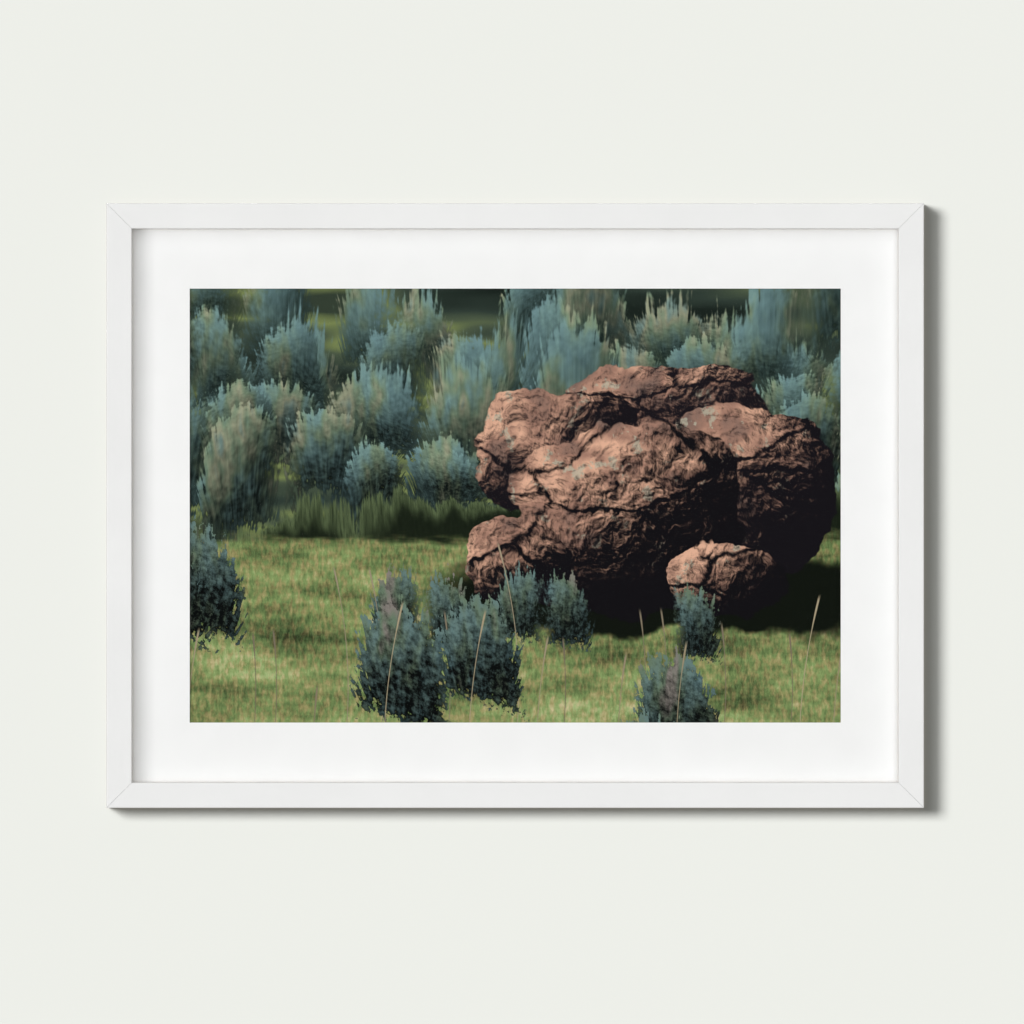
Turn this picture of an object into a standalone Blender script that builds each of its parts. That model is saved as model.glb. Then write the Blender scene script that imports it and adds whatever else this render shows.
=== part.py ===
"""Framed landscape print for a wall, made of its real pieces.

Four mitred rails of white painted wood hold, from front to back, a clear acrylic sheet, a window
mat, the print, a foam mounting board and a hardboard back. Steel points pressed into the rebate
keep the boards in, and V-shaped wedges close the mitres. Two sawtooth hangers under the top edge
hook on wall nails, and four rubber bumpers keep the frame parallel to the wall.

Units are metres, +Z is up, X runs along the width, and the picture faces -Y. The origin is the
centre of the whole object. "Inset" is a distance from the frame's outer edge towards its middle,
and "depth" a distance behind the frame's front face.
"""

import math

import bmesh
import bpy
from mathutils import Vector

# Driving dimensions
PICTURE_W = 0.6096  # what the mat's window shows: 24 x 16 in
PICTURE_H = 0.4064
MAT_SIDE = 0.054  # mat that shows beside the window
MAT_TOP = 0.056  # mat that shows above and below it
FACE_W = 0.0236  # the rail's front face
RAIL_DEPTH = 0.030
LIP_DEPTH = 0.0155  # the rail's front lip, ahead of the rebate
REBATE_W = 0.0065  # how far the lip covers the boards
BOARD_PLAY = 0.001  # room round the boards inside the rebate
GAP = 0.0003  # between pieces that meet

# The stack behind the lip
GLAZING_T = 0.002
MAT_T = 0.0018
PRINT_T = 0.0005
PRINT_MARGIN = 0.012  # paper hidden under the mat
MOUNT_T = 0.003
BACKING_T = 0.0025

# Rounding of the rail's edges
OUTER_EDGE_R = 0.0012
INNER_EDGE_R = 0.0009
BACK_EDGE_R = 0.0008
ARC_STEPS = 4

# Steel points that hold the boards
POINT_LENGTH = 0.022
POINT_WIDTH = 0.008
POINT_T = 0.0006
POINT_BITE = 0.009  # length pressed into the wood
POINT_HOLE_R = 0.0013
POINTS_ALONG = {"top": 4, "bottom": 4, "left": 3, "right": 3}

# Wedges across the mitres
WEDGE_ARM = 0.0048
WEDGE_T = 0.0006
WEDGE_DEEP = 0.006
WEDGE_PLACES = (0.0075, 0.0155)  # along the mitre from the outer corner

# Sawtooth hangers, their nails and the bumpers
HANGER_LENGTH = 0.046
HANGER_WIDTH = 0.0095
HANGER_T = 0.0008
HANGER_RISE = 0.0011
HANGER_TOOTHED = 0.026
HANGER_TEETH = 11
TOOTH_DEEP = 0.0013
HANGER_BEND = 0.002  # length of each joggle
HANGER_PLACE = 0.27  # from the middle of the top rail
HANGER_INSET = 0.0086
NAIL_SPACING = 0.0384
NAIL_R = 0.0008
NAIL_LENGTH = 0.009
NAIL_HEAD_R = 0.0021
NAIL_HEAD_T = 0.0009
BUMPER_R = 0.005
BUMPER_T = 0.0027
BUMPER_EDGE_R = 0.001
BUMPER_PLACE = 0.026  # from the corner, along the side rails

# What follows from them
SIGHT_W = PICTURE_W + 2 * MAT_SIDE
SIGHT_H = PICTURE_H + 2 * MAT_TOP
OUTER_W = SIGHT_W + 2 * FACE_W
OUTER_H = SIGHT_H + 2 * FACE_W
BOARD_W = SIGHT_W + 2 * (REBATE_W - BOARD_PLAY)
BOARD_H = SIGHT_H + 2 * (REBATE_W - BOARD_PLAY)
FRONT_Y = -(RAIL_DEPTH + GAP + BUMPER_T) / 2
REBATE_INSET = FACE_W - REBATE_W
GLAZING_AT = LIP_DEPTH + GAP
MAT_AT = GLAZING_AT + GLAZING_T + GAP
PRINT_AT = MAT_AT + MAT_T + GAP
MOUNT_AT = PRINT_AT + PRINT_T + GAP
BACKING_AT = MOUNT_AT + MOUNT_T + GAP
POINT_AT = BACKING_AT + BACKING_T + GAP

# Each side of the frame: how far it is turned about Y, its length and its distance from the middle
SIDES = {
    "bottom": (0, OUTER_W, OUTER_H / 2),
    "left": (math.pi / 2, OUTER_H, OUTER_W / 2),
    "top": (math.pi, OUTER_W, OUTER_H / 2),
    "right": (-math.pi / 2, OUTER_H, OUTER_W / 2),
}

MATERIALS = {
    "white_lacquer": ((0.86, 0.86, 0.855), 0.45, 0.0),
    "acrylic": ((0.95, 0.97, 0.97), 0.05, 0.0),
    "mat_board": ((0.90, 0.90, 0.895), 0.9, 0.0),
    "printed_paper": ((0.30, 0.33, 0.25), 0.5, 0.0),
    "foam_board": ((0.85, 0.85, 0.84), 0.8, 0.0),
    "hardboard": ((0.32, 0.20, 0.11), 0.8, 0.0),
    "zinc_steel": ((0.62, 0.62, 0.60), 0.35, 1.0),
    "brass_steel": ((0.66, 0.50, 0.24), 0.35, 1.0),
    "rubber": ((0.55, 0.55, 0.54), 0.7, 0.0),
}


def clear_scene():
    for obj in list(bpy.data.objects):
        bpy.data.objects.remove(obj, do_unlink=True)


def make_material(name):
    colour, roughness, metallic = MATERIALS[name]
    material = bpy.data.materials.new(name)
    material.use_nodes = True
    shader = material.node_tree.nodes["Principled BSDF"]
    shader.inputs["Base Color"].default_value = (*colour, 1.0)
    shader.inputs["Roughness"].default_value = roughness
    shader.inputs["Metallic"].default_value = metallic
    return material


def make_collection(name):
    collection = bpy.data.collections.new(name)
    bpy.context.scene.collection.children.link(collection)
    return collection


def add_object(name, data, collection, material=None):
    obj = bpy.data.objects.new(name, data)
    collection.objects.link(obj)
    if material:
        data.materials.append(material)
    return obj


def mesh_from(bm, name):
    """The bmesh as a mesh, with its faces pointing out."""
    bm.normal_update()
    bmesh.ops.recalc_face_normals(bm, faces=bm.faces)
    mesh = bpy.data.meshes.new(name)
    bm.to_mesh(mesh)
    bm.free()
    return mesh


def shade_round(mesh):
    mesh.shade_smooth()
    mesh.set_sharp_from_angle(angle=math.radians(40))


def arc(centre, radius, start, end, steps=ARC_STEPS):
    """Points on an arc, from the start angle to the end angle in degrees."""
    angles = (math.radians(start + (end - start) * i / steps) for i in range(steps + 1))
    return [(centre[0] + radius * math.cos(a), centre[1] + radius * math.sin(a)) for a in angles]


def extruded(name, outlines, thickness):
    """A mesh of a flat outline, with holes if there are more outlines, thick along local Z."""
    curve = bpy.data.curves.new(name, "CURVE")
    curve.dimensions = "2D"
    curve.fill_mode = "BOTH"
    curve.extrude = thickness / 2
    for outline in outlines:
        spline = curve.splines.new("POLY")
        spline.points.add(len(outline) - 1)
        for point, (x, y) in zip(spline.points, outline):
            point.co = (x, y, 0, 1)
        spline.use_cyclic_u = True
    guide = bpy.data.objects.new(name, curve)
    bpy.context.scene.collection.objects.link(guide)
    bpy.context.view_layer.update()
    graph = bpy.context.evaluated_depsgraph_get()
    mesh = bpy.data.meshes.new_from_object(guide.evaluated_get(graph))
    bpy.data.objects.remove(guide, do_unlink=True)
    bpy.data.curves.remove(curve)
    bm = bmesh.new()
    bm.from_mesh(mesh)
    bmesh.ops.remove_doubles(bm, verts=bm.verts, dist=0.00001)
    bpy.data.meshes.remove(mesh)
    return bm


def side_empties(collection):
    """One empty for each side. Its children are placed as on the bottom side, and it turns them."""
    empties = {}
    for side, (angle, _, _) in SIDES.items():
        empties[side] = add_object("side_" + side, None, collection)
        empties[side].rotation_euler.y = angle
    return empties


def on_side(obj, empties, side, along, inset, depth):
    """Puts an object on a side of the frame."""
    obj.parent = empties[side]
    obj.location = (along, FRONT_Y + depth, inset - SIDES[side][2])


def rail_profile():
    """The rail's section as (inset, depth) points, with a rebate for the boards."""
    outline = arc((OUTER_EDGE_R, OUTER_EDGE_R), OUTER_EDGE_R, 180, 270)
    outline += arc((FACE_W - INNER_EDGE_R, INNER_EDGE_R), INNER_EDGE_R, 270, 360)
    outline += [(FACE_W, LIP_DEPTH), (REBATE_INSET, LIP_DEPTH), (REBATE_INSET, RAIL_DEPTH)]
    outline += arc((BACK_EDGE_R, RAIL_DEPTH - BACK_EDGE_R), BACK_EDGE_R, 90, 180)
    return outline


def make_rail(side, empties, collection, material):
    """A rail along X with both ends cut back at 45 degrees, half a gap short of the mitre."""
    _, length, _ = SIDES[side]
    bm = extruded("rail", [rail_profile()], length)
    setback = GAP / 2 * math.sqrt(2)
    for vert in bm.verts:
        inset, depth, end = vert.co
        along = math.copysign(length / 2 - inset - setback, end)
        vert.co = (along, depth, inset)
    mesh = mesh_from(bm, "rail_" + side)
    shade_round(mesh)
    rail = add_object("rail_" + side, mesh, collection, material)
    on_side(rail, empties, side, 0, 0, 0)
    return rail


def make_board(name, width, height, thickness, depth, collection, material):
    """A flat board centred on the frame, with its front face at the given depth."""
    bm = bmesh.new()
    bmesh.ops.create_cube(bm, size=1)
    bmesh.ops.scale(bm, vec=(width, thickness, height), verts=bm.verts)
    board = add_object(name, mesh_from(bm, name), collection, material)
    board.location.y = FRONT_Y + depth + thickness / 2
    return board


def make_mat(collection, material):
    """The window mat. Its opening has a reverse bevel at 45 degrees, which hides the cut."""
    rings = [
        (BOARD_W, BOARD_H, MAT_T),
        (BOARD_W, BOARD_H, 0),
        (PICTURE_W, PICTURE_H, 0),
        (PICTURE_W + 2 * MAT_T, PICTURE_H + 2 * MAT_T, MAT_T),
    ]
    bm = bmesh.new()
    loops = []
    for width, height, depth in rings:
        corners = [(-1, -1), (1, -1), (1, 1), (-1, 1)]
        loops.append([bm.verts.new((x * width / 2, depth, z * height / 2)) for x, z in corners])
    for i in range(4):
        outer, inner = loops[i - 1], loops[i]
        for j in range(4):
            bm.faces.new((outer[j - 1], outer[j], inner[j], inner[j - 1]))
    mat = add_object("mat", mesh_from(bm, "mat"), collection, material)
    mat.location.y = FRONT_Y + MAT_AT


def box_cutter(name, size, collection):
    """A box that a Boolean takes out of a rail. It doesn't render."""
    bm = bmesh.new()
    bmesh.ops.create_cube(bm, size=1)
    bmesh.ops.scale(bm, vec=size, verts=bm.verts)
    return as_cutter(add_object(name, mesh_from(bm, name), collection))


def as_cutter(obj):
    obj.hide_render = True
    obj.display_type = "WIRE"
    return obj


def point_mesh(material):
    """A steel point: pointed where it enters the wood, round and pierced where it holds the board."""
    half = POINT_WIDTH / 2
    tip = POINT_LENGTH - half
    outline = [(0, 0), (half * 0.8, -half)]
    outline += arc((tip, 0), half, -90, 90, 8)
    outline += [(half * 0.8, half)]
    hole = arc((tip, 0), POINT_HOLE_R, 0, 330, 11)
    bm = extruded("point", [outline, hole], POINT_T)
    for vert in bm.verts:
        out, along, thick = vert.co
        vert.co = (along, thick, out)
    mesh = mesh_from(bm, "steel_point")
    mesh.materials.append(material)
    return mesh


def make_points(empties, collection, cutters, material):
    """Points spaced evenly along each side, each in a slot of its own in the rebate's wall."""
    mesh = point_mesh(material)
    start = REBATE_INSET - POINT_BITE
    middle = POINT_AT + POINT_T / 2
    for side, count in POINTS_ALONG.items():
        _, length, _ = SIDES[side]
        for i in range(count):
            along = length * ((i + 0.5) / count - 0.5)
            point = add_object(f"point_{side}_{i + 1}", mesh, collection)
            on_side(point, empties, side, along, start, middle)
            size = (POINT_WIDTH + 2 * GAP, POINT_T + 2 * GAP, POINT_BITE + 2 * GAP)
            slot = box_cutter(f"slot_{side}_{i + 1}", size, cutters[side])
            on_side(slot, empties, side, along, start + POINT_BITE / 2, middle)


def wedge_outline(extra):
    """A chevron that opens away from the corner, with arms of the wedge's thickness plus extra."""
    half = (WEDGE_T + extra) / 2
    reach = (WEDGE_ARM + extra / 2) / math.sqrt(2)
    across = half * math.sqrt(2)
    along = half / math.sqrt(2)
    return [
        (-across, 0),
        (reach - along, -reach - along),
        (reach + along, -reach + along),
        (across, 0),
        (reach + along, reach - along),
        (reach - along, reach + along),
    ]


def wedge_mesh(extra, name):
    bm = extruded(name, [wedge_outline(extra)], WEDGE_DEEP + extra)
    for vert in bm.verts:
        along, across, deep = vert.co
        vert.co = (along, deep, across)
    return mesh_from(bm, name)


def make_wedges(collection, cutters, material):
    """Two wedges in the back of each mitre. A corner's empty turns its X along the mitre."""
    mesh = wedge_mesh(0, "wedge")
    mesh.materials.append(material)
    slot_mesh = wedge_mesh(2 * GAP, "wedge_slot")
    corners = [(x, z) for z in (1, -1) for x in (-1, 1)]
    for number, (x, z) in enumerate(corners):
        empty = add_object(f"corner_{number + 1}", None, collection)
        empty.location = (x * OUTER_W / 2, 0, z * OUTER_H / 2)
        empty.rotation_euler.y = math.atan2(z, -x)
        for i, place in enumerate(WEDGE_PLACES):
            deep = RAIL_DEPTH - GAP / 2 - WEDGE_DEEP / 2
            wedge = add_object(f"wedge_{number * 2 + i + 1}", mesh, collection)
            slots = cutters["left" if x < 0 else "right"], cutters["top" if z > 0 else "bottom"]
            slot = as_cutter(add_object(f"wedge_slot_{number * 2 + i + 1}", slot_mesh, slots[0]))
            slots[1].objects.link(slot)
            for obj in (wedge, slot):
                obj.parent = empty
                obj.location = (place, FRONT_Y + deep, 0)


def hanger_outline():
    """The hanger's strip: round ends, a straight upper edge and a toothed lower one."""
    half_w = HANGER_WIDTH / 2
    end = HANGER_LENGTH / 2 - half_w
    pitch = HANGER_TOOTHED / HANGER_TEETH
    outline = arc((end, 0), half_w, 90, -90, 8)
    for i in range(HANGER_TEETH):
        start = HANGER_TOOTHED / 2 - i * pitch
        outline += [(start, -half_w), (start - pitch / 2, -half_w + TOOTH_DEEP)]
    outline += [(-HANGER_TOOTHED / 2, -half_w)]
    outline += arc((-end, 0), half_w, -90, -270, 8)
    return outline


def hanger_mesh(material):
    """The strip, bent so that its middle stands off the wood and a nail's head fits behind it."""
    holes = [
        arc((x, 0), NAIL_R + 1.5 * GAP, 0, 330, 11) for x in (-NAIL_SPACING / 2, NAIL_SPACING / 2)
    ]
    bm = extruded("hanger", [hanger_outline(), *holes], HANGER_T)
    bend_start = HANGER_TOOTHED / 2 + HANGER_BEND
    for place in (HANGER_TOOTHED / 2, bend_start):
        for x in (-place, place):
            everything = bm.verts[:] + bm.edges[:] + bm.faces[:]
            bmesh.ops.bisect_plane(bm, geom=everything, plane_co=(x, 0, 0), plane_no=(1, 0, 0))
    for vert in bm.verts:
        x, up, thick = vert.co
        rise = min(max((bend_start - abs(x)) / HANGER_BEND, 0), 1) * HANGER_RISE
        vert.co = (x, thick + rise, -up)
    mesh = mesh_from(bm, "hanger")
    mesh.materials.append(material)
    return mesh


def turned(name, profile, collection, material, steps=20):
    """A round piece: its (radius, height) profile, turned about local Z with a Screw modifier."""
    bm = bmesh.new()
    verts = [bm.verts.new((radius, 0, height)) for radius, height in profile]
    for a, b in zip(verts, verts[1:]):
        bm.edges.new((a, b))
    mesh = bpy.data.meshes.new(name)
    bm.to_mesh(mesh)
    bm.free()
    obj = add_object(name, mesh, collection, material)
    screw = obj.modifiers.new("Turn", "SCREW")
    screw.steps = steps
    screw.render_steps = steps
    screw.use_merge_vertices = True
    screw.merge_threshold = 0.00001
    screw.use_smooth_shade = True
    return obj


def make_hangers(empties, collection, cutters, materials):
    """Two hangers on the back of the top rail, each with two nails in holes drilled in the wood."""
    mesh = hanger_mesh(materials["brass_steel"])
    shank = NAIL_LENGTH - NAIL_HEAD_T
    profile = [(0, NAIL_HEAD_T), (NAIL_HEAD_R * 0.6, NAIL_HEAD_T * 0.85), (NAIL_HEAD_R, 0)]
    profile += [(NAIL_R, 0), (NAIL_R, -shank + 2 * NAIL_R), (0, -shank)]
    head_at = RAIL_DEPTH + HANGER_T + 2 * GAP
    number = 0
    for name, place in (("left", HANGER_PLACE), ("right", -HANGER_PLACE)):
        hanger = add_object("hanger_" + name, mesh, collection)
        depth = RAIL_DEPTH + GAP + HANGER_T / 2
        on_side(hanger, empties, "top", place, HANGER_INSET, depth)
        for offset in (NAIL_SPACING / 2, -NAIL_SPACING / 2):
            number += 1
            nail = turned(f"hanger_nail_{number}", profile, collection, materials["brass_steel"])
            nail.rotation_euler.x = -math.pi / 2
            on_side(nail, empties, "top", place + offset, HANGER_INSET, head_at)
            drill = pilot_drill(f"drill_{number}", cutters["top"])
            on_side(drill, empties, "top", place + offset, HANGER_INSET, RAIL_DEPTH)


def pilot_drill(name, collection):
    """A cylinder along Y that drills a nail's hole into a rail's back."""
    reach = NAIL_LENGTH + GAP
    bm = bmesh.new()
    radius = NAIL_R + GAP
    bmesh.ops.create_cone(
        bm, cap_ends=True, segments=16, radius1=radius, radius2=radius, depth=2 * reach
    )
    for vert in bm.verts:
        x, y, z = vert.co
        vert.co = (x, z, -y)
    return as_cutter(add_object(name, mesh_from(bm, name), collection))


def make_bumpers(empties, collection, material):
    """A round rubber bumper near each end of both side rails."""
    edge = BUMPER_R - BUMPER_EDGE_R
    profile = [(0, BUMPER_T), *arc((edge, BUMPER_T - BUMPER_EDGE_R), BUMPER_EDGE_R, 90, 0)]
    profile += [(BUMPER_R, 0), (0, 0)]
    number = 0
    for side in ("left", "right"):
        for end in (-1, 1):
            number += 1
            bumper = turned(f"bumper_{number}", profile, collection, material, 24)
            bumper.rotation_euler.x = -math.pi / 2
            along = end * (SIDES[side][1] / 2 - BUMPER_PLACE)
            on_side(bumper, empties, side, along, REBATE_INSET / 2, RAIL_DEPTH + GAP)


def cut(rail, cutters):
    """Takes every cutter of the rail's side out of it."""
    boolean = rail.modifiers.new("Slots", "BOOLEAN")
    boolean.operation = "DIFFERENCE"
    boolean.operand_type = "COLLECTION"
    boolean.collection = cutters


def main():
    clear_scene()
    materials = {name: make_material(name) for name in MATERIALS}
    parts = make_collection("framed_print")
    cutters = {side: make_collection("cutters_" + side) for side in SIDES}
    empties = side_empties(parts)
    rails = {side: make_rail(side, empties, parts, materials["white_lacquer"]) for side in SIDES}

    full = BOARD_W, BOARD_H
    paper = PICTURE_W + 2 * PRINT_MARGIN, PICTURE_H + 2 * PRINT_MARGIN
    make_board("glazing", *full, GLAZING_T, GLAZING_AT, parts, materials["acrylic"])
    make_mat(parts, materials["mat_board"])
    make_board("print_sheet", *paper, PRINT_T, PRINT_AT, parts, materials["printed_paper"])
    make_board("mounting_board", *full, MOUNT_T, MOUNT_AT, parts, materials["foam_board"])
    make_board("backing_board", *full, BACKING_T, BACKING_AT, parts, materials["hardboard"])

    make_points(empties, parts, cutters, materials["zinc_steel"])
    make_wedges(parts, cutters, materials["zinc_steel"])
    make_hangers(empties, parts, cutters, materials)
    make_bumpers(empties, parts, materials["rubber"])
    for side, rail in rails.items():
        cut(rail, cutters[side])


main()
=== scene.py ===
"""Framed landscape print: pieces, finishes, wall and light, built round the CAD frame."""

import math
from functools import partial

import bmesh
import bpy
from mathutils import Matrix, Vector


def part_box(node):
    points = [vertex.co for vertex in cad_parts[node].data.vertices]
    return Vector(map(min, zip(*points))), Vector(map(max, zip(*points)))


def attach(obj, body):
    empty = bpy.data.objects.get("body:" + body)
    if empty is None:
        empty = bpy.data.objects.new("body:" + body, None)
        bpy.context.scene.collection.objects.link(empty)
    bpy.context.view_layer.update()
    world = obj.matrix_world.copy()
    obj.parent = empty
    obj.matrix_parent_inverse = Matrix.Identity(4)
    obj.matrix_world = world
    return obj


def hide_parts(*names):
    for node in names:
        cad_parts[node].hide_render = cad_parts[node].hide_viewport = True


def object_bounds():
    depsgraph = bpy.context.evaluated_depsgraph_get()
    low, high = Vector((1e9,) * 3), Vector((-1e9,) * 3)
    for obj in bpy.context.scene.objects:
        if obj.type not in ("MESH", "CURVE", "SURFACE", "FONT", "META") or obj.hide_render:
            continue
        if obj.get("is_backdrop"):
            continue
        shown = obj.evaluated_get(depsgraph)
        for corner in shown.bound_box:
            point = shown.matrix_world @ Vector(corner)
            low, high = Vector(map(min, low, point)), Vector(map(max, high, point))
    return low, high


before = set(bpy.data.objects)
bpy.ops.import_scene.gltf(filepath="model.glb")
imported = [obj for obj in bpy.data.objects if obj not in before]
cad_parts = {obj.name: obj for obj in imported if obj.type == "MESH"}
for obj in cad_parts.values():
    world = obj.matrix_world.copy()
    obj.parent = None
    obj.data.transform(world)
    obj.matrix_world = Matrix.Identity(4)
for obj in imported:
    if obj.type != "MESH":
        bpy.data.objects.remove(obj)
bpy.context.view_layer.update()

bl_info = {
    "name": "Framed Landscape Print",
    "version": (1, 0, 0),
    "blender": (4, 5, 0),
    "location": "3D View > Sidebar > Framed Print",
    "description": "Builds a glazed and matted print in a white mitred frame, on a pale wall",
    "category": "Add Mesh",
}

# Lengths in metres. Parts lie GAP apart in depth, and the sheets have PLAY beside them. Points
# closer than TOUCH count as one.
GAP = 0.0003
PLAY = 0.001
TOUCH = 0.00001

# Places that come from the frame
FRONT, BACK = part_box("rail_left")[0].y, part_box("rail_left")[1].y
WIDTH, HEIGHT = 2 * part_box("rail_right")[1].x, 2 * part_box("rail_top")[1].z
FACE = HEIGHT / 2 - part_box("rail_top")[0].z
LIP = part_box("glazing")[0].y - GAP
REBATE = WIDTH / 2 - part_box("glazing")[1].x - PLAY


def linear(code, alpha=1.0):
    """An sRGB hex colour such as #FFFFFF as linear red, green, blue and alpha."""
    channels = (int(code[i : i + 2], 16) / 255 for i in (1, 3, 5))
    return (*(c / 12.92 if c <= 0.04045 else ((c + 0.055) / 1.055) ** 2.4 for c in channels), alpha)


def length_property(name, description, default):
    """A length in metres, shown to a tenth of a millimetre."""
    return bpy.props.FloatProperty(
        name=name, description=description, default=default, unit="LENGTH", precision=4
    )


def colour_property(name, description, code):
    """A colour, given as a hex colour."""
    limits = {"size": 4, "min": 0, "max": 1}
    return bpy.props.FloatVectorProperty(
        name=name, description=description, default=linear(code), subtype="COLOR", **limits
    )


class FramedPrintSizes(bpy.types.PropertyGroup):
    """Sizes that the CAD frame leaves open."""

    window_width: length_property("Window Width", "Width of the window in the mat", 0.6096)
    window_height: length_property("Window Height", "Height of the window in the mat", 0.4064)
    outer_edge: length_property("Outer Edge", "Radius of a rail's outer front edge", 0.0012)
    inner_edge: length_property("Inner Edge", "Radius of a rail's inner front edge", 0.0009)
    mitre_edge: length_property("Mitre Edge", "Chamfer along both sides of a mitre", 0.00012)
    mitre_line: length_property("Mitre Line", "Width of the joint between two rails", 0.00012)
    hanging_height: length_property("Hanging Height", "From the floor to the middle", 1.45)


class FramedPrintColours(bpy.types.PropertyGroup):
    """Colours of the finishes and of the room."""

    lacquer: colour_property("Lacquer", "Satin lacquer on the rails", "#E5E5E5")
    mat: colour_property("Mat", "Face of the window mat", "#F9F9F9")
    pine: colour_property("Pine", "Bare wood at the back of the rails", "#DDC092")
    hardboard: colour_property("Hardboard", "Pressed wood fibre of the back", "#8A6341")
    wall: colour_property("Wall", "Painted wall behind the frame", "#A8A9A5")
    floor: colour_property("Floor", "Plain floor", "#E9E9E5")


# The setting that the second word of a node's kind gives
MODES = {
    "Math": "operation",
    "VectorMath": "operation",
    "MapRange": "interpolation_type",
    "Mix": "data_type",
    "TexNoise": "noise_dimensions",
    "TexWhiteNoise": "noise_dimensions",
    "TexVoronoi": "voronoi_dimensions",
}


def feed(tree, socket, value):
    """Links an input to a node or to one of its outputs, or sets it to a number or hex colour."""
    if isinstance(value, bpy.types.Node):
        value = next(output for output in value.outputs if output.enabled)
    if isinstance(value, bpy.types.NodeSocket):
        tree.links.new(value, socket)
    else:
        socket.default_value = linear(value) if isinstance(value, str) else value


def add_node(tree, kind, *values, stops=(), **named):
    """Adds a node to a tree, such as a "Math ADD", and feeds its inputs in order or by name.

    A name in small letters is a setting of the node. Stops are the colours of its ramp.
    """
    kind, _, mode = kind.partition(" ")
    node = tree.nodes.new("ShaderNode" + kind)
    if mode:
        setattr(node, MODES[kind], mode)
    for name in [name for name in named if name.islower()]:
        setattr(node, name, named.pop(name))
    for socket, value in zip([socket for socket in node.inputs if socket.enabled], values):
        feed(tree, socket, value)
    for name, value in named.items():
        feed(tree, node.inputs[name.replace("_", " ")], value)
    for i, (place, code) in enumerate(stops):
        stop = node.color_ramp.elements[i] if i < 2 else node.color_ramp.elements.new(place)
        stop.position, stop.color = place, linear(code)
    return node


def wire(material, **values):
    """Feeds the inputs of the material's shader by name, and gives the material back."""
    tree = material.node_tree
    for name, value in values.items():
        feed(tree, tree.nodes["Principled BSDF"].inputs[name.replace("_", " ")], value)
    return material


def start_material(name, **uniform):
    """A material with its uniform values set, as (material, its add, Object coordinates)."""
    material = bpy.data.materials.new(name)
    material.use_nodes = True
    wire(material, **uniform)
    add = partial(add_node, material.node_tree)
    return material, add, add("TexCoord").outputs["Object"]


def end_material(material, relief, strength, depth=0.0001, **patterns):
    """Wires a material's patterns, and its relief as a bump of this depth in metres."""
    bump = add_node(material.node_tree, "Bump", Height=relief, Strength=strength, Distance=depth)
    return wire(material, **patterns, Normal=bump)


def stretched(add, kind, place, stretch, **settings):
    """A pattern with this many features to a unit of length, along each direction."""
    return add(kind, add("VectorMath MULTIPLY", place, stretch), Scale=1, **settings)


# What each brush is told in numbers. It is also told the place, what lies under it, the colour
# in the light and the colour in the shade. A seed only moves the row along, so that no two rows
# look alike.
TUFTS = ("Top", "Size", "Lean", "Tilt", "Softness", "Fall", "Seed")
SAGE = ("Base", "Size", "Tilt", "Gaps", "Softness", "Detail", "Sprigs", "Spikes", "Leaf")
SAGE += ("Contrast", "Seed")
STALKS = ("Base", "Length", "Spacing", "Width", "Lean", "Softness", "Seed")


def start_brush(name, numbers, vectors=()):
    """A node group that paints over a colour, as (group, its add, its inputs)."""
    group = bpy.data.node_groups.new(name, "ShaderNodeTree")
    kinds = {"Under": "Color", **dict.fromkeys(("Place", *vectors), "Vector")}
    kinds |= {**dict.fromkeys(numbers, "Float"), "Lit": "Color", "Shade": "Color"}
    for key, kind in kinds.items():
        group.interface.new_socket(key, in_out="INPUT", socket_type="NodeSocket" + kind)
    group.interface.new_socket("Colour", in_out="OUTPUT", socket_type="NodeSocketColor")
    return group, partial(add_node, group), group.nodes.new("NodeGroupInput").outputs


def end_brush(group, given, inside, light):
    """Ends a brush: lays its lit and shaded tones over the colour under it, inside its edge."""
    add = partial(add_node, group)
    mask = add("Math DIVIDE", inside, given["Softness"])
    mask = add("MapRange SMOOTHSTEP", mask, -0.5, 0.5)
    tone = add("Mix RGBA", light, given["Shade"], given["Lit"])
    done = add("Mix RGBA", mask, given["Under"], tone)
    feed(group, group.nodes.new("NodeGroupOutput").inputs[0], done)
    return group


def tuft_brush():
    """A bank of grass whose blades end in a ragged top. It darkens towards the ground."""
    group, add, given = start_brush("Tufts", TUFTS)
    place = add("SeparateXYZ", given["Place"])
    x, y = place.outputs[0], place.outputs[1]
    y = add("Math MULTIPLY_ADD", x, given["Tilt"], y)
    x = add("Math MULTIPLY_ADD", given["Lean"], y, x)
    across = add("Math DIVIDE", x, given["Size"])
    across = add("Math MULTIPLY_ADD", given["Seed"], 31.7, across)
    up = add("Math DIVIDE", y, given["Size"])
    stems = add("CombineXYZ", across, up)
    # Clumps set how high the blades reach, and plumes part them.
    clumps = stretched(add, "TexNoise 2D", stems, (0.8, 0.35, 1), Detail=2, Roughness=0.6)
    plumes = stretched(add, "TexNoise 2D", stems, (7, 1.1, 1), Detail=3, Roughness=0.62)
    rise = add("Math MULTIPLY_ADD", clumps, 2.6, plumes)
    rise = add("Math SUBTRACT", rise, 1.8)
    deep = add("Math SUBTRACT", rise, up)
    inside = add("Math MULTIPLY_ADD", deep, given["Size"], given["Top"])
    deep = add("Math DIVIDE", inside, given["Fall"])
    light = add("MapRange SMOOTHSTEP", deep, 0, 1, 1, 0.08)
    strands = add("MapRange", plumes, 0.3, 0.68, 0.35, 1.25)
    light = add("Math MULTIPLY", light, strands)
    return end_brush(group, given, inside, light)


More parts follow.
